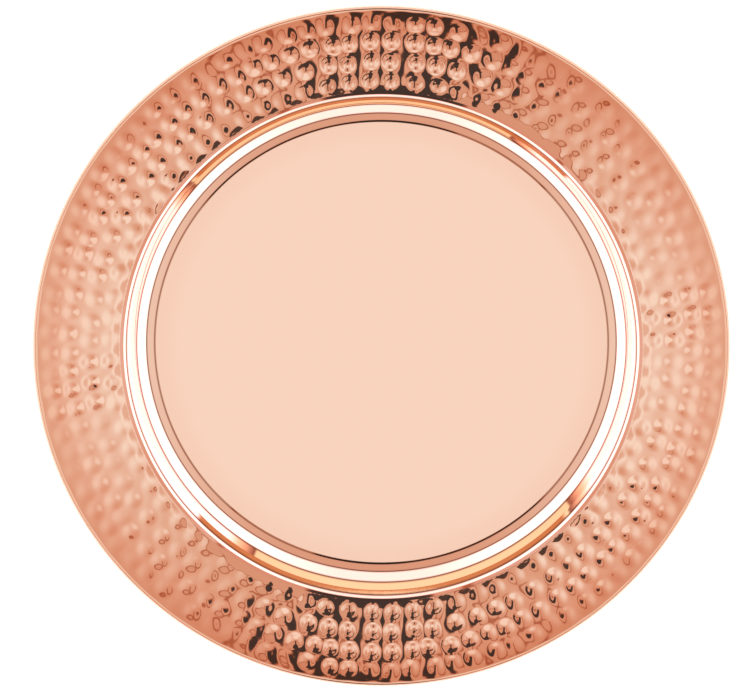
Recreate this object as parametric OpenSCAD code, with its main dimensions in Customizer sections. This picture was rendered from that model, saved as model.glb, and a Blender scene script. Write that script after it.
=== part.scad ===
// Hammered copper tray: one pressed sheet with a flat round well, a coved wall,
// a gently rising hammered rim, and an edge rolled around a wire.
// Millimetres, +Z up. The origin is at the centre of the flat underside.

/* [Overall] */
// Diameter over the rolled edge
tray_d = 330; // [280:1:400]
// Thickness of the sheet
sheet_t = 0.7; // [0.5:0.05:1]

/* [Well] */
// Diameter of the flat floor
floor_d = 215.4; // [180:0.2:228]
// Width of the small step around the floor
riser_w = 0.9; // [0.7:0.1:1.6]
// Slope of that step, in degrees
riser_slope = 14; // [10:1:20]
// Width of the shallow border around the step
border_w = 3.5; // [3:0.1:6]
// Slope of that border, in degrees
border_slope = 4.6; // [3:0.2:8]
// Width of the cove between the border and the wall
cove_w = 4.6; // [3.4:0.2:6]
// Slope of the cove, in degrees
cove_slope = 30; // [24:1:34]
// Width of the lower wall, seen from above
wall_w = 2.7; // [2.4:0.1:5]
// Slope of the lower wall, in degrees
wall_slope = 59; // [57:1:62]
// Width of the upper wall, seen from above
neck_w = 1.8; // [1.6:0.1:3]
// Slope of the upper wall, in degrees
neck_slope = 55.5; // [52:0.5:56]
// Width of the rounded shoulder above the wall
shoulder_w = 1.4; // [1.3:0.1:2.4]
// Slope of the shoulder, in degrees
shoulder_slope = 33; // [28:1:38]
// Width of the narrow ledge inside the hammered rim
ledge_w = 1.5; // [1.1:0.1:2.4]
// Slope of the ledge, in degrees
ledge_slope = 15; // [13:1:20]

/* [Rim] */
// Slope of the hammered rim, in degrees
rim_slope = 8; // [6:0.5:11]
// Diameter of the wire inside the rolled edge
wire_d = 1.2; // [1:0.1:2]
// Angle that the rolled edge wraps around its wire
curl_wrap = 280; // [200:5:285]

/* [Hidden] */

round_fn = 180;
wire_fn = 24;
arc_steps = 4;
curl_steps = 24;
wire_gap = 0.05;

wire_r = wire_d / 2;
curl_in = wire_r + wire_gap;
curl_out = curl_in + sheet_t;
wire_ring_r = tray_d / 2 - curl_out;
rim_end_r = wire_ring_r - curl_out * sin(rim_slope);

// Straight stretches of the upper surface from the floor to the rim, and the
// radius of the bend at the inner end of each one.
widths = [riser_w, border_w, cove_w, wall_w, neck_w, shoulder_w, ledge_w];
slopes = [riser_slope, border_slope, cove_slope, wall_slope, neck_slope, shoulder_slope, ledge_slope];
radii = [1.6, 1.4, 1.6, 1.6, 6, 1, 0.9, 0.9];

function total(list, n) = n == 0 ? 0 : list[n - 1] + total(list, n - 1);
rises = [for (i = [0 : len(widths) - 1]) widths[i] * tan(slopes[i])];
corners = [for (i = [0 : len(widths)]) [floor_d / 2 + total(widths, i), sheet_t + total(rises, i)]];
turns = concat([0], slopes, [rim_slope]);

crease = corners[len(widths)];
rim_end_z = crease[1] + (rim_end_r - crease[0]) * tan(rim_slope);
wire_z = rim_end_z - curl_out * cos(rim_slope);

function slope_dir(a) = [cos(a), sin(a)];
function slope_up(a) = [-sin(a), cos(a)];
function backwards(list) = [for (i = [len(list) - 1 : -1 : 0]) list[i]];

// One bend of the sheet, moved along the sheet's normal by lift: the arc is
// tangent to both straight stretches, and its centre stays the same.
function bend(corner, a0, a1, r, lift) =
    let (
        side = a1 > a0 ? 1 : -1,
        back = r * tan(abs(a1 - a0) / 2),
        centre = corner - back * slope_dir(a0) + side * r * slope_up(a0)
    )
    [for (i = [0 : arc_steps])
        centre - (side * r - lift) * slope_up(a0 + (a1 - a0) * i / arc_steps)];

// The rolled edge: an arc around the wire that starts on the rim and turns down.
function curl(r) =
    [for (i = [0 : curl_steps])
        [wire_ring_r, wire_z] + r * slope_up(rim_slope - curl_wrap * i / curl_steps)];

function skin(lift) = concat(
    [[0, sheet_t + lift]],
    [for (i = [0 : len(corners) - 1])
        each bend(corners[i], turns[i], turns[i + 1], radii[i], lift)],
    curl(curl_out + lift));

module sheet_profile() {
    polygon(concat(skin(0), backwards(skin(-sheet_t))));
}

module tray_sheet() {
    color("#e3a382")
        rotate_extrude($fn = round_fn) sheet_profile();
}

module rim_wire() {
    color("#8a8d90")
        rotate_extrude($fn = round_fn)
            translate([wire_ring_r, wire_z]) circle(r = wire_r, $fn = wire_fn);
}

tray_sheet();
rim_wire();
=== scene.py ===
"""Looks for the hammered copper tray: the hammered sheet, both metals, the studio and the camera.

Places are in the CAD model's frame, with +Z up, the tray's underside at z = 0 and its axis on the Z axis.
The sheet is worked out in millimetres and degrees, and scaled to metres when its mesh is made.
"""
import math
from typing import NamedTuple

import bpy
import numpy as np
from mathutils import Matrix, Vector


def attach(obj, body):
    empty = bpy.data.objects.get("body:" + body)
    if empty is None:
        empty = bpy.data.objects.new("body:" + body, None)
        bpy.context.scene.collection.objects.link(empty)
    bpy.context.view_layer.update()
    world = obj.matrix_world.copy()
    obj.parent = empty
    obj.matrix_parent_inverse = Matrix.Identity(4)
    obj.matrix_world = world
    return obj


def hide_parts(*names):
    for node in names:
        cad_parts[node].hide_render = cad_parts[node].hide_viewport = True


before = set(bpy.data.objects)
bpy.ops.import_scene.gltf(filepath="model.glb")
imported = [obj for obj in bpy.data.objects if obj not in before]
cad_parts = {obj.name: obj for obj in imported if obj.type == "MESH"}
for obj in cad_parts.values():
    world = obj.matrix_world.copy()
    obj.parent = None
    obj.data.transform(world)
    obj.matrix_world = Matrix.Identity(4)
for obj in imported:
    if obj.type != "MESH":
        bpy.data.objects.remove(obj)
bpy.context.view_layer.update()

MM = 0.001


# ---------------------------------------------------------------- the pressed sheet's profile

class Stretch(NamedTuple):
    """A straight stretch of the sheet's upper surface, and the bend at its inner end."""

    width: float
    slope: float
    bend_radius: float
    bend_steps: int


TRAY_D = 330.0
SHEET_T = 0.7
FLOOR_D = 215.4

# The stretches from the flat floor's edge to the crease, from the inside outwards.
RISER = Stretch(width=0.9, slope=14.0, bend_radius=1.0, bend_steps=3)
BORDER = Stretch(width=3.5, slope=4.6, bend_radius=0.8, bend_steps=3)
COVE = Stretch(width=4.6, slope=30.0, bend_radius=0.4, bend_steps=3)
WALL = Stretch(width=2.7, slope=59.0, bend_radius=0.9, bend_steps=4)
NECK = Stretch(width=1.8, slope=55.5, bend_radius=6.0, bend_steps=1)
SHOULDER = Stretch(width=1.4, slope=33.0, bend_radius=1.0, bend_steps=3)
LEDGE = Stretch(width=1.5, slope=15.0, bend_radius=0.9, bend_steps=2)
INSIDE = (RISER, BORDER, COVE, WALL, NECK, SHOULDER, LEDGE)

# The rolled edge round its wire, and the hammered rim that takes up the width between it and the crease.
WIRE_D = 1.2
WIRE_GAP = 0.05
CURL_R = WIRE_D / 2 + WIRE_GAP + SHEET_T
CURL_WRAP = 280.0
RIM_SLOPE = 8.0
WIRE_RING_R = TRAY_D / 2 - CURL_R
CREASE_R = FLOOR_D / 2 + sum(stretch.width for stretch in INSIDE)
RIM_END_R = WIRE_RING_R - CURL_R * math.sin(math.radians(RIM_SLOPE))
RIM = Stretch(width=RIM_END_R - CREASE_R, slope=RIM_SLOPE, bend_radius=0.5, bend_steps=2)

# Mesh density: points round the tray, the distance between the rings of the hammered band on each side,
# the radii of the rings on the flat floor, and how far inside a straight stretch its guard rings lie.
FINE_SEGMENTS = 1200
PLAIN_SEGMENTS = FINE_SEGMENTS // 4
BAND_STEP = 0.95
UNDER_STEP = 1.6
FLOOR_RINGS = (20.0, 60.0, 90.0, 104.0)
BEND_EDGE = 0.12
CURL_STEPS = 12


def along(slope):
    """Unit vector up a slope, as (radius, height)."""
    return np.array([math.cos(slope), math.sin(slope)])


def upright(slope):
    """Unit vector at right angles to a slope, out of the sheet's upper surface."""
    return np.array([-math.sin(slope), math.cos(slope)])


def corner_points():
    """Where the straight stretches would meet, as (radius, height), and the rim's outer end."""
    corners = [(FLOOR_D / 2, SHEET_T)]
    for stretch in (*INSIDE, RIM):
        radius, height = corners[-1]
        rise = stretch.width * math.tan(math.radians(stretch.slope))
        corners.append((radius + stretch.width, height + rise))
    return corners


CORNERS = corner_points()


def bend(corner, slope_before, stretch):
    """Stations round the bend into a stretch. A station is (radius, height, slope in radians)."""
    start, end = math.radians(slope_before), math.radians(stretch.slope)
    radius = stretch.bend_radius if end > start else -stretch.bend_radius
    back = stretch.bend_radius * math.tan(abs(end - start) / 2)
    centre = np.array(corner) - back * along(start) + radius * upright(start)
    slopes = np.linspace(start, end, stretch.bend_steps + 1)
    return [(*(centre - radius * upright(slope)), slope) for slope in slopes]


def straight(start, end):
    """Two stations just inside a straight stretch, so that its shading stays flat up to the bends."""
    start_r, start_z, _ = start
    end_r, end_z, slope = end
    rise = (end_z - start_z) / (end_r - start_r)
    radii = (start_r + BEND_EDGE, end_r - BEND_EDGE)
    return [(radius, start_z + (radius - start_r) * rise, slope) for radius in radii]


def sheet_stations(band_step):
    """Stations of the upper surface from near the axis to the rolled edge's end, and the hammered ones."""
    stations = [(radius, SHEET_T, 0.0) for radius in FLOOR_RINGS]
    slope_before = 0.0
    for corner, stretch in zip(CORNERS, (*INSIDE, RIM)):
        turn = bend(corner, slope_before, stretch)
        stations += straight(stations[-1], turn[0]) + turn
        slope_before = stretch.slope

    start_r, start_z, rim = stations[-1]
    count = int((RIM_END_R - start_r) / band_step)
    hammered = range(len(stations), len(stations) + count - 1)
    for step in range(1, count):
        radius = start_r + (RIM_END_R - start_r) * step / count
        stations.append((radius, start_z + (radius - start_r) * math.tan(rim), rim))

    wire_centre = np.array([WIRE_RING_R, CORNERS[-1][1] - CURL_R * math.cos(rim)])
    for step in range(CURL_STEPS + 1):
        slope = rim - math.radians(CURL_WRAP) * step / CURL_STEPS
        stations.append((*(wire_centre + CURL_R * upright(slope)), slope))
    return stations, hammered


# ---------------------------------------------------------------- the hammer marks

class MarkRing(NamedTuple):
    """One ring of shallow round dents."""

    radius: float
    count: int
    phase: float
    force: float
    uneven: float


MARK_RINGS = (
    MarkRing(radius=128.8, count=76, phase=0.5, force=0.96, uneven=0.10),
    MarkRing(radius=138.5, count=84, phase=0.5, force=1.05, uneven=0.10),
    MarkRing(radius=148.2, count=98, phase=0.0, force=1.00, uneven=0.12),
    MarkRing(radius=157.0, count=98, phase=0.0, force=0.60, uneven=0.50),
)
MARK_RADIUS = 3.8

# How far marks stray from an even ring: in azimuth as a share of their spacing, in radius in mm, and in
# size as a share of their own.
STRAY_TURN = 0.13
STRAY_RADIUS = 0.55
STRAY_SIZE = 0.06

# Depth of the marks round half a turn, in mm by degrees of azimuth: crisp blows near the picture's top
# and bottom, and smooth ones elsewhere.
CRISP_DEPTH = {
    0: 0, 52: 0, 60: 0.03, 68: 0.10, 74: 0.28, 80: 0.44, 99: 0.44, 106: 0.24, 118: 0.14,
    140: 0.12, 152: 0.06, 160: 0, 180: 0,
}
SMOOTH_DEPTH = {
    0: 0.20, 3: 0.32, 8: 0.36, 14: 0.15, 40: 0.125, 60: 0.115, 72: 0.09, 100: 0.09,
    112: 0.12, 130: 0.15, 150: 0.24, 163: 0.30, 170: 0.22, 180: 0.20,
}

# A smooth blow is wider than a crisp one. A crisp blow's edge is softened over a depth in mm, which is
# more for each mm that the marks grow in radius on the underside. A blow below the ease depth is eased off.
SMOOTH_GROWTH = 1.32
MARK_REACH = 1.7
EDGE_SOFTNESS = 0.025
UNDER_GROWTH = 0.3
UNDER_SOFTNESS = 0.3
SOFT_REACH = 9
EASE_DEPTH = 0.05

# The whole band ripples faintly: depth in mm, waves round the tray, twist in radians per mm, and phase.
# Furrows add to that where the blows are crisp, as a share of their depth.
RIPPLES = ((0.018, 46, 0.45, 0.0), (0.012, 74, -0.6, 1.0))
FURROW_SHARE = 0.09
FURROW_COUNT = 86
FURROW_TWIST = 0.08
FURROW_RADIUS = 140

# The hammering fades out at both edges of the band, and the sheet swells a little beside the crease.
FADE_W = 2.0
SWELL = 0.42
SWELL_W = 3.6


def wander(mark, ring, trait):
    """A repeatable number between -1 and 1 for one trait of one mark, from the usual sine hash."""
    wave = math.sin(mark * 127.1 + ring * 311.7 + trait * 74.7) * 43758.5453
    return 2 * (wave - math.floor(wave)) - 1


def depth_at(table, azimuth):
    """Depth from a table that repeats after half a turn."""
    return np.interp(np.degrees(azimuth) % 180.0, list(table), list(table.values()))


def hammer_marks():
    """Every mark as (azimuth, radius, size, crisp depth, smooth depth). Rings repeat after half a turn."""
    marks = []
    for number, ring in enumerate(MARK_RINGS):
        half = ring.count // 2
        for i in range(ring.count):
            k = i % half
            turn, shift, size, force = (wander(k, number, trait) for trait in (1, 2, 3, 4))
            azimuth = math.pi * (i // half) + math.pi / half * (k + ring.phase + STRAY_TURN * turn)
            strength = ring.force * (1 + ring.uneven * force)
            marks.append((
                azimuth,
                ring.radius + STRAY_RADIUS * shift,
                MARK_RADIUS * (1 + STRAY_SIZE * size),
                strength * depth_at(CRISP_DEPTH, azimuth),
                strength * depth_at(SMOOTH_DEPTH, azimuth),
            ))
    return marks


def hammer_depth(radii, azimuths, grow):
    """Depth of the hammering at every (radius, azimuth) of the band, in mm."""
    total = np.zeros((len(radii), len(azimuths)))
    soft = EDGE_SOFTNESS + UNDER_SOFTNESS * grow
    for azimuth, radius, size, crisp, smooth in hammer_marks():
        turn = np.abs((azimuths - azimuth + math.pi) % (2 * math.pi) - math.pi)
        columns = np.nonzero(turn * radius < size * MARK_REACH)[0]
        rows = np.nonzero(np.abs(radii - radius) < size * MARK_REACH)[0]
        away = (radii[rows] - radius)[:, None] ** 2 + (turn[columns] * radius)[None, :] ** 2
        cap = crisp * (1 - away / (size + grow) ** 2)
        rounded = soft * np.log1p(np.exp(cap / soft)) * (cap > -SOFT_REACH * soft)
        bowl = smooth * np.clip(1 - away / (size * SMOOTH_GROWTH) ** 2, 0, 1) ** 2
        total[np.ix_(rows, columns)] += min(crisp / EASE_DEPTH, 1.0) * rounded + bowl

    radius, azimuth = radii[:, None], azimuths[None, :]
    for depth, waves, twist, phase in RIPPLES:
        total += depth * np.sin(waves * azimuth + twist * radius + phase)
    furrows = np.cos(FURROW_COUNT * azimuth + FURROW_TWIST * (radius - FURROW_RADIUS))
    total += FURROW_SHARE * depth_at(CRISP_DEPTH, azimuth) * furrows

    inner, outer = radius - radii[0], radii[-1] - radius
    fade = np.clip(np.minimum(inner, outer) / FADE_W, 0, 1)
    swell = SWELL * np.clip(inner / SWELL_W, 0, 1) * outer / (radii[-1] - radii[0])
    return total * fade - swell


# ---------------------------------------------------------------- the sheet's mesh

def turns(count):
    """Azimuths of the points of a ring."""
    return np.arange(count) * 2 * math.pi / count


def side_rings(band_step, lift, grow, fine_count):
    """One side of the sheet as rings of points, from the axis outwards. Plain rings have fewer points."""
    stations, hammered = sheet_stations(band_step)
    beside = (hammered.start - 1, hammered.stop)
    band = np.array([radius for radius, _, _ in stations[beside[0]:beside[1] + 1]])
    dents = hammer_depth(band, turns(fine_count), grow)
    rings = []
    for i, (radius, height, slope) in enumerate(stations):
        count = PLAIN_SEGMENTS
        push = lift
        if i in hammered:
            count = fine_count
            push = lift - dents[i - beside[0]]
        elif i in beside:
            count = max(fine_count // 2, PLAIN_SEGMENTS)
        ring_r = radius - math.sin(slope) * push
        ring_z = (height + math.cos(slope) * push) * np.ones(count)
        rings.append(np.stack([ring_r * np.cos(turns(count)), ring_r * np.sin(turns(count)), ring_z], 1))
    return rings


def fan(centre, ring):
    """Faces between a point and the ring round it."""
    return [(centre, here, there) for here, there in zip(ring, ring[1:] + ring[:1])]


def strip(first, second):
    """Faces between two rings of point numbers, where one ring may have twice the other's points."""
    if len(first) == len(second):
        return list(zip(first, second, second[1:] + second[:1], first[1:] + first[:1]))
    coarse, fine = sorted((first, second), key=len)
    faces = []
    pairs = zip(coarse, coarse[1:] + coarse[:1])
    triples = zip(fine[0::2], fine[1::2], fine[2::2] + fine[:1])
    for (here, there), (left, middle, right) in zip(pairs, triples):
        faces += [(here, left, middle), (here, middle, there), (there, middle, right)]
    return faces if coarse is first else [face[::-1] for face in faces]


def sheet_object(name):
    """The whole pressed sheet as one closed mesh: out along its upper side and back along its underside."""
    rings = side_rings(BAND_STEP, 0.0, 0.0, FINE_SEGMENTS)
    rings += side_rings(UNDER_STEP, -SHEET_T, UNDER_GROWTH, FINE_SEGMENTS // 2)[::-1]
    points = np.concatenate([[[0, 0, SHEET_T]], *rings, [[0, 0, 0]]]) * MM

    ends = np.cumsum([1] + [len(ring) for ring in rings]).tolist()
    numbers = [list(range(start, end)) for start, end in zip(ends, ends[1:])]
    faces = fan(0, numbers[0])
    for first, second in zip(numbers, numbers[1:]):
        faces += strip(first, second)
    faces += fan(len(points) - 1, numbers[-1][::-1])

    mesh = bpy.data.meshes.new(name)
    mesh.from_pydata(points.tolist(), [], faces)
    mesh.shade_smooth()
    mesh.update()
    obj = bpy.data.objects.new(name, mesh)
    bpy.context.scene.collection.objects.link(obj)
    return obj


# ---------------------------------------------------------------- node trees

class Fade(NamedTuple):
    """A smooth change from one level to another, as a value goes from start to end."""

    start: float
    end: float
    start_level: float = 0.0
    end_level: float = 1.0


class Band(NamedTuple):
    """A band with soft sides: nothing before start, all of it from full to until, nothing after end."""

    start: float
    full: float
    until: float
    end: float


class Oval(NamedTuple):
    """An oval: its centre and its half widths."""

    across: float
    ahead: float
    half_across: float
    half_ahead: float


# The sockets of a Mix node, which has some for each kind of value.
MIX_FACTOR = 0
MIX_FLOATS = (2, 3)
MIX_COLOURS = (6, 7)
MIX_COLOUR_OUT = 2


class Graph:
    """Short calls for building the node tree of a material or world."""

    def __init__(self, owner):
        owner.use_nodes = True
        self.tree = owner.node_tree
        self.tree.nodes.clear()

    def node(self, kind, **settings):
        made = self.tree.nodes.new(kind)
        for key, value in settings.items():
            setattr(made, key, value)
        return made

    def put(self, value, socket):
        """Link an output to the socket, or set the socket to a plain value."""
        if isinstance(value, bpy.types.NodeSocket):
            self.tree.links.new(value, socket)
        else:
            socket.default_value = value

    def shader(self, kind, **inputs):
        """A shader's output, with its inputs by name."""
        made = self.node(kind)
        for key, value in inputs.items():
            self.put(value, made.inputs[key])
        return made.outputs[0]

    def split(self, vector):
        made = self.node("ShaderNodeSeparateXYZ")
        self.put(vector, made.inputs[0])
        return tuple(made.outputs)

    def math(self, operation, *values):
        made = self.node("ShaderNodeMath", operation=operation)
        for value, socket in zip(values, made.inputs):
            self.put(value, socket)
        return made.outputs[0]

    def times(self, first, *others):
        for other in others:
            first = self.math("MULTIPLY", first, other)
        return first

    def length(self, x, y):
        return self.math("SQRT", self.math("ADD", self.times(x, x), self.times(y, y)))

    def degrees(self, angle):
        return self.times(angle, 180 / math.pi)

    def fade(self, value, fade):
        made = self.node("ShaderNodeMapRange", interpolation_type="SMOOTHSTEP")
        self.put(value, made.inputs["Value"])
        self.put(fade.start, made.inputs["From Min"])
        self.put(fade.end, made.inputs["From Max"])
        self.put(fade.start_level, made.inputs["To Min"])
        self.put(fade.end_level, made.inputs["To Max"])
        return made.outputs[0]

    def band(self, value, band):
        """1 inside a band, 0 outside."""
        rise = self.fade(value, Fade(band.start, band.full))
        return self.times(rise, self.fade(value, Fade(band.end, band.until)))

    def oval(self, across, ahead, oval):
        """Distance from an oval's centre, which is 1 on its edge."""
        x = self.math("DIVIDE", self.math("SUBTRACT", across, oval.across), oval.half_across)
        y = self.math("DIVIDE", self.math("SUBTRACT", ahead, oval.ahead), oval.half_ahead)
        return self.length(x, y)

    def inside(self, distance, soft):
        """1 inside an oval, 0 outside, over a soft edge."""
        return self.fade(distance, Fade(1 + soft, 1 - soft))

    def mix(self, first, second, factor):
        made = self.node("ShaderNodeMix", data_type="FLOAT")
        self.put(factor, made.inputs[MIX_FACTOR])
        for value, socket in zip((first, second), MIX_FLOATS):
            self.put(value, made.inputs[socket])
        return made.outputs[0]

    def mix_colours(self, first, second, factor):
        made = self.node("ShaderNodeMix", data_type="RGBA")
        self.put(factor, made.inputs[MIX_FACTOR])
        for value, socket in zip((first, second), MIX_COLOURS):
            self.put(value, made.inputs[socket])
        return made.outputs[MIX_COLOUR_OUT]

    def ramp(self, value, stops):
        """Colour by value, with straight changes between the stops."""
        made = self.node("ShaderNodeValToRGB")
        elements = made.color_ramp.elements
        while len(elements) < len(stops):
            elements.new(0.5)
        for element, (position, colour) in zip(elements, stops):
            element.position = position
            element.color = (*colour, 1.0)
        self.put(value, made.inputs[0])
        return made.outputs[0]


# ---------------------------------------------------------------- the metals

# Copper's tone by radius in mm, over the floor and out along the rim to the rolled edge.
COPPER_TONES = (
    (0.0, (0.93, 0.64, 0.50)),
    (95.7, (0.93, 0.64, 0.50)),
    (119.46, (0.95, 0.60, 0.47)),
    (132.0, (0.93, 0.64, 0.49)),
    (148.5, (0.92, 0.58, 0.43)),
    (155.1, (0.89, 0.51, 0.36)),
    (162.525, (0.84, 0.45, 0.30)),
    (165.0, (0.93, 0.62, 0.475)),
)

# The bends below the rim, with the tone inside and outside each one, and a thin dark line of painted shade
# along it.
COPPER_BENDS = (
    (FLOOR_D / 2 + RISER.width / 2, (0.91, 0.60, 0.46), (0.89, 0.58, 0.44)),
    (CORNERS[INSIDE.index(COVE)][0], (0.89, 0.58, 0.44), (0.95, 0.57, 0.49)),
    (CORNERS[INSIDE.index(WALL)][0], (0.95, 0.57, 0.49), (0.95, 0.60, 0.47)),
    (CORNERS[INSIDE.index(SHOULDER)][0], (0.95, 0.60, 0.47), (0.94, 0.57, 0.49)),
    (CREASE_R, (0.93, 0.58, 0.46), (0.93, 0.63, 0.48)),
)
# Painted shade: the colour and half width of the thin dark line along each bend's crease.
CREASE_SHADE = (0.20, 0.09, 0.06)
CREASE_SHADE_HALF_W = 0.084
TONE_CHANGE_HALF_W = 0.28

COPPER_NOISE_SCALE = 60.0
COPPER_ROUGHNESS = Fade(start=0.3, end=0.7, start_level=0.02, end_level=0.045)
WIRE_GREYS = ((0.3, (0.30, 0.30, 0.30)), (0.7, (0.45, 0.45, 0.45)))
WIRE_NOISE_SCALE = 400.0
WIRE_ROUGHNESS = Fade(start=0.3, end=0.7, start_level=0.3, end_level=0.5)


def tone_stops():
    """Stops of the copper's tone and of the painted shade lines at the bends, in radius order, with radii
    as shares of the tray's radius.
    """
    stops = list(COPPER_TONES)
    for radius, inner, outer in COPPER_BENDS:
        stops += [
            (radius - TONE_CHANGE_HALF_W, inner),
            # A thin line of painted shade along the bend.
            (radius - CREASE_SHADE_HALF_W, CREASE_SHADE),
            (radius + CREASE_SHADE_HALF_W, CREASE_SHADE),
            (radius + TONE_CHANGE_HALF_W, outer),
        ]
    return sorted((radius / (TRAY_D / 2), colour) for radius, colour in stops)


def copper_colour(g, coords, noise):
    """Copper's tone, which goes by the distance from the tray's axis, with thin lines of painted shade at
    the bends.
    """
    x, y, _ = g.split(coords)
    return g.ramp(g.math("DIVIDE", g.length(x, y), TRAY_D / 2 * MM), tone_stops())


def wire_colour(g, coords, noise):
    """The mottled grey of drawn wire."""
    return g.ramp(noise, WIRE_GREYS)


def metal(name, colour, noise_scale, roughness):
    """A metal. Its roughness follows fine noise, and colour makes its colour from place and noise."""
    material = bpy.data.materials.new(name)
    g = Graph(material)
    coords = g.node("ShaderNodeTexCoord").outputs["Object"]
    noise = g.node("ShaderNodeTexNoise")
    noise.inputs["Scale"].default_value = noise_scale
    g.put(coords, noise.inputs["Vector"])
    shader = g.node("ShaderNodeBsdfPrincipled")
    shader.inputs["Metallic"].default_value = 1.0
    g.put(colour(g, coords, noise.outputs["Fac"]), shader.inputs["Base Color"])
    g.put(g.fade(noise.outputs["Fac"], roughness), shader.inputs["Roughness"])
    out = g.node("ShaderNodeOutputMaterial")
    g.put(shader.outputs[0], out.inputs["Surface"])
    return material


# ---------------------------------------------------------------- the studio

# The light tent is a world with its own axis, which is where the camera sees the tray's axis mirrored in
# the floor. Angles on it are in degrees from that axis. Levels are brightnesses, with the tent about 1.
# The tent repeats after half a turn, apart from what the far and the near wall see.
SOFT_BOX = Oval(across=16.0, ahead=0.0, half_across=12.5, half_ahead=30.0)
SOFT_BOX_EDGE = 0.02
SHEEN_BY_SIDE = Fade(start=3.0, end=20.0, start_level=0.84, end_level=1.05)
SHEEN_BY_FORE = Fade(start=2.0, end=18.0, start_level=1.0, end_level=0.86)
SHEEN_PAST_SIDE = Fade(start=16.0, end=23.0, start_level=1.0, end_level=0.82)
OUTSIDE_BOXES_LEVEL = 0.80
SEAM = Band(start=0.95, full=0.99, until=1.01, end=1.05)
SEAM_FORE = Fade(start=6.5, end=9.0)
SEAM_LEVEL = 0.45

# A bright disc round the tent's axis, which the floor sees. Its edge is in its own half widths.
FLOOR_DISC = Oval(across=0.0, ahead=0.0, half_across=1.0, half_ahead=0.74)
FLOOR_DISC_EDGE = Fade(start=9.0, end=4.2)
FLOOR_DISC_LEVEL = 1.02

# A dull patch with a darker outline, in two opposite quarters.
STAIN = Oval(across=9.0, ahead=22.0, half_across=8.0, half_ahead=11.0)
STAIN_EDGE = 0.02
STAIN_LEVEL = 0.75
STAIN_OUTLINE = Band(start=0.93, full=0.98, until=1.01, end=1.06)
STAIN_OUTLINE_LEVEL = 0.48

# The dark gap between the boxes, the dark opening that it leads to, and a dark arc beside the opening.
GAP_ACROSS = Band(start=-1.7, full=-0.9, until=2.1, end=2.9)
GAP_AHEAD = Band(start=7.6, full=9.6, until=20.0, end=22.0)
OPENING = Oval(across=1.2, ahead=25.6, half_across=6.6, half_ahead=7.4)
OPENING_EDGE = 0.06
OPENING_LEVEL = 0.02
ARC = Band(start=21.0, full=22.0, until=25.2, end=26.2)
ARC_ACROSS = Band(start=-18.5, full=-17.0, until=-4.0, end=-3.0)
ARC_LEVEL = 0.06

# Below the boxes the tent is even, with a bright ring that the cove sees and one that the shoulder sees.
TENT_EDGE = Fade(start=39.5, end=42.0)
TENT_LEVEL = Fade(start=64.0, end=85.0, start_level=0.97, end_level=0.90)
COVE_RING = Band(start=53.4, full=54.4, until=57.8, end=58.8)
SHOULDER_RING = Band(start=59.6, full=60.4, until=63.6, end=64.6)
RING_LEVEL = Fade(start=10.0, end=40.0, start_level=1.6, end_level=2.4)

# Colour of the light by its level.
TENT_TONES = (
    (0.0, (0.05, 0.047, 0.05)),
    (0.1, (0.11, 0.075, 0.065)),
    (0.5, (0.52, 0.20, 0.12)),
    (0.8, (0.80, 0.52, 0.41)),
    (0.9, (0.90, 0.75, 0.69)),
    (1.0, (1.0, 1.0, 1.0)),
)

# The wall and the neck see the tent's strongly lit lower side, by way of a second bounce off the sheet.
# A world counts a ray's depth as its bounces and one more.
TWO_BOUNCES = 2.5
LOWER_EDGE = Fade(start=42.0, end=44.0)
LOWER_LEVEL = 3.6
COOL = (0.72, 0.75, 1.0)
GREY = (0.5, 0.40, 0.34)
EMBER = (0.095, 0.033, 0.025)
AMBER = (0.38, 0.42, 0.34)
LOWER_TONES = (
    (0.0, COOL), (45.0, COOL), (48.5, GREY), (53.6, EMBER), (54.0, AMBER),
    (146.6, AMBER), (147.0, EMBER), (152.0, GREY), (156.0, COOL), (180.0, COOL),
)

# The far wall, seen more steeply, looks into the tent higher up and turned less than the near one.
# The neck sees the lower side's top at the far wall and its foot at the near wall, which glow a deeper
# amber. The edge of that glow bows by these angles at NECK_BOW_REACH degrees from straight ahead.
FAR_SIDE = Fade(start=0.02, end=-0.02)
FAR_SPREAD = 1.34
NECK_GLOW = (0.21, 0.114, 0.056, 1.0)
NECK_END = Fade(start=56.0, end=54.0)
NECK_BOW_REACH = 53.0
FAR_NECK = Fade(start=48.3, end=47.3)
FAR_NECK_BOW = 6.6
NEAR_NECK = Fade(start=92.6, end=93.6)
NEAR_NECK_BOW = 9.5

# The least length that an angle is divided by.
TINY = 1e-4


class Sky:
    """Where a ray meets the tent. Across is to the picture's right and ahead is up it, in degrees."""

    def __init__(self, g, tilt):
        turn = g.node("ShaderNodeMapping", vector_type="POINT")
        turn.inputs["Rotation"].default_value = (tilt, 0.0, 0.0)
        g.put(g.node("ShaderNodeTexCoord").outputs["Generated"], turn.inputs["Vector"])
        x, y, z = g.split(turn.outputs["Vector"])
        self.angle = g.degrees(g.math("ARCCOSINE", z))
        spread = g.math("DIVIDE", self.angle, g.math("MAXIMUM", g.length(x, y), TINY))
        self.across = g.times(x, spread)
        self.ahead = g.times(y, spread)
        self.side = g.math("ABSOLUTE", self.across)
        self.fore = g.math("ABSOLUTE", self.ahead)
        self.skew = g.times(self.across, g.math("SIGN", self.ahead))
        self.azimuth = g.degrees(g.math("ARCTAN2", y, x))
        self.far = g.fade(y, FAR_SIDE)


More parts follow.
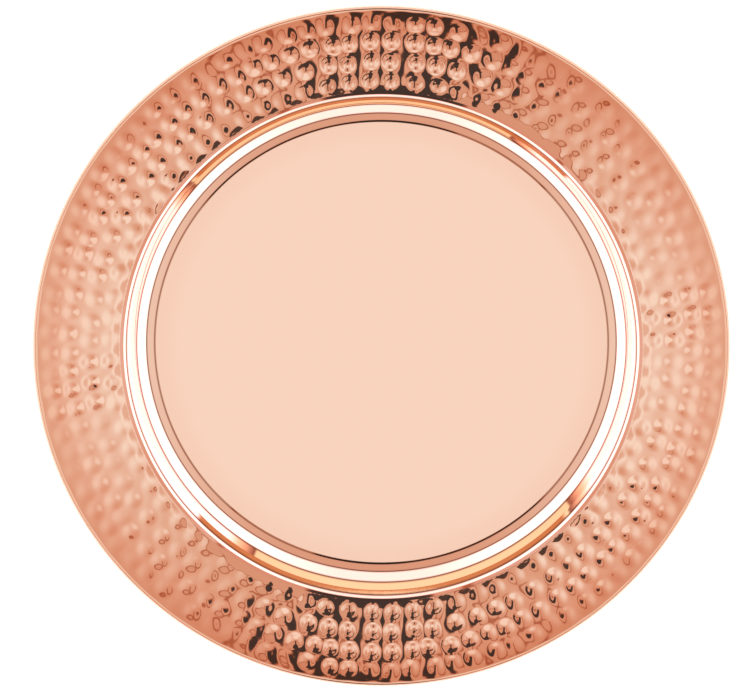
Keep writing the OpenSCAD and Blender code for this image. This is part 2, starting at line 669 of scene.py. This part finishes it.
def box_light(g, sky):
    """Level of the tent's top: a soft box at each side, and the dark things between and beyond them."""
    box = g.oval(sky.side, sky.ahead, SOFT_BOX)
    sheen = g.times(g.fade(sky.side, SHEEN_BY_SIDE), g.fade(sky.fore, SHEEN_BY_FORE))
    sheen = g.times(sheen, g.fade(sky.side, SHEEN_PAST_SIDE))
    light = g.mix(OUTSIDE_BOXES_LEVEL, sheen, g.inside(box, SOFT_BOX_EDGE))
    light = g.mix(light, SEAM_LEVEL, g.times(g.band(box, SEAM), g.fade(sky.fore, SEAM_FORE)))
    disc = g.oval(sky.side, sky.fore, FLOOR_DISC)
    light = g.mix(light, FLOOR_DISC_LEVEL, g.fade(disc, FLOOR_DISC_EDGE))
    stain = g.oval(sky.skew, sky.fore, STAIN)
    light = g.mix(light, STAIN_LEVEL, g.inside(stain, STAIN_EDGE))
    light = g.mix(light, STAIN_OUTLINE_LEVEL, g.band(stain, STAIN_OUTLINE))
    gap = g.times(g.band(sky.skew, GAP_ACROSS), g.band(sky.fore, GAP_AHEAD))
    light = g.mix(light, OPENING_LEVEL, gap)
    opening = g.oval(sky.skew, sky.fore, OPENING)
    light = g.mix(light, OPENING_LEVEL, g.inside(opening, OPENING_EDGE))
    return g.mix(light, ARC_LEVEL, g.times(g.band(sky.angle, ARC), g.band(sky.skew, ARC_ACROSS)))


def tent_light(g, sky):
    """Level of the tent below its boxes."""
    rings = g.math("MAXIMUM", g.band(sky.angle, COVE_RING), g.band(sky.angle, SHOULDER_RING))
    return g.mix(g.fade(sky.angle, TENT_LEVEL), g.fade(sky.side, RING_LEVEL), rings)


def lower_colour(g, sky):
    """Colour of the tent's lower side: amber ahead and behind, cool at the sides, and the neck's glow."""
    from_ahead = g.math("SUBTRACT", g.math("FLOORED_MODULO", sky.azimuth, 180.0), 90.0)
    from_ahead = g.times(from_ahead, g.mix(1.0, FAR_SPREAD, sky.far))
    half_turn = g.math("DIVIDE", g.math("ADD", from_ahead, 90.0), 180.0)
    colour = g.ramp(half_turn, [(azimuth / 180, tone) for azimuth, tone in LOWER_TONES])

    aside = g.math("ABSOLUTE", from_ahead)
    bow = g.math("POWER", g.math("DIVIDE", aside, NECK_BOW_REACH), 2.0)
    far_neck = g.fade(g.math("SUBTRACT", sky.angle, g.times(bow, FAR_NECK_BOW)), FAR_NECK)
    near_neck = g.fade(g.math("ADD", sky.angle, g.times(bow, NEAR_NECK_BOW)), NEAR_NECK)
    neck = g.times(g.mix(near_neck, far_neck, sky.far), g.fade(aside, NECK_END))
    return g.mix_colours(colour, NECK_GLOW, neck)


def studio(tilt):
    """The light tent, which the camera itself sees as plain white."""
    world = bpy.data.worlds.new("studio")
    bpy.context.scene.world = world
    g = Graph(world)
    sky = Sky(g, tilt)
    path = g.node("ShaderNodeLightPath").outputs

    light = g.mix(box_light(g, sky), tent_light(g, sky), g.fade(sky.angle, TENT_EDGE))
    twice = g.math("GREATER_THAN", path["Ray Depth"], TWO_BOUNCES)
    lower = g.times(g.fade(sky.angle, LOWER_EDGE), twice)
    colour = g.mix_colours(g.ramp(light, TENT_TONES), lower_colour(g, sky), lower)
    # A ramp stops at 1, so what is brighter than that goes into the strength.
    strength = g.math("MAXIMUM", g.mix(light, LOWER_LEVEL, lower), 1.0)

    pick = g.node("ShaderNodeMixShader")
    g.put(path["Is Camera Ray"], pick.inputs[0])
    g.put(g.shader("ShaderNodeBackground", Color=colour, Strength=strength), pick.inputs[1])
    g.put(g.shader("ShaderNodeBackground", Color=(1.0, 1.0, 1.0, 1.0)), pick.inputs[2])
    out = g.node("ShaderNodeOutputWorld")
    g.put(pick.outputs[0], out.inputs["Surface"])


# The floor, in metres: it lies just under the tray, and glows a little so that it comes out white.
GROUND_HALF_W = 4.0
GROUND_Z = -0.0002
GROUND_COLOUR = (0.80, 0.80, 0.80, 1.0)
GROUND_GLOW = 0.52


def ground():
    """A plain pale floor."""
    half = GROUND_HALF_W
    corners = [(-half, -half, 0), (half, -half, 0), (half, half, 0), (-half, half, 0)]
    mesh = bpy.data.meshes.new("ground")
    mesh.from_pydata(corners, [], [(0, 1, 2, 3)])
    material = bpy.data.materials.new("ground")
    g = Graph(material)
    both = g.node("ShaderNodeAddShader")
    g.put(g.shader("ShaderNodeBsdfDiffuse", Color=GROUND_COLOUR), both.inputs[0])
    g.put(g.shader("ShaderNodeEmission", Strength=GROUND_GLOW), both.inputs[1])
    out = g.node("ShaderNodeOutputMaterial")
    g.put(both.outputs[0], out.inputs["Surface"])
    mesh.materials.append(material)
    obj = bpy.data.objects.new("ground", mesh)
    obj.location.z = GROUND_Z
    bpy.context.scene.collection.objects.link(obj)


# The camera hangs above the tray, leaning back past the vertical: 90 degrees would be straight down.
CAMERA_ELEVATION = 102.55
CAMERA_DISTANCE = 2.0
CAMERA_LENS = 202.46
CAMERA_SENSOR = 36.0
CAMERA_SHIFT = (-0.00927, 0.00582)
CAMERA_TARGET_Z = 0.012
CAMERA_CLIP = (0.05, 50.0)


def camera(lean):
    """The camera, leaning by an angle from straight down."""
    data = bpy.data.cameras.new("camera")
    data.lens = CAMERA_LENS
    data.sensor_width = CAMERA_SENSOR
    data.shift_x, data.shift_y = CAMERA_SHIFT
    data.clip_start, data.clip_end = CAMERA_CLIP
    obj = bpy.data.objects.new("camera", data)
    bpy.context.scene.collection.objects.link(obj)
    obj.location = Vector((0.0, -math.sin(lean), math.cos(lean))) * CAMERA_DISTANCE
    obj.location.z += CAMERA_TARGET_Z
    obj.rotation_euler = (lean, 0.0, 0.0)
    bpy.context.scene.camera = obj


# ---------------------------------------------------------------- the scene

camera_lean = math.radians(90.0 - CAMERA_ELEVATION)
camera(camera_lean)
studio(camera_lean)
ground()

sheet = sheet_object("hammered_sheet")
sheet.data.materials.append(metal("copper", copper_colour, COPPER_NOISE_SCALE, COPPER_ROUGHNESS))
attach(sheet, "root")
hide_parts("tray_sheet")

wire = metal("wire", wire_colour, WIRE_NOISE_SCALE, WIRE_ROUGHNESS)
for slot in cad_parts["rim_wire"].material_slots:
    slot.material = wire

bpy.context.scene.view_settings.view_transform = "Standard"
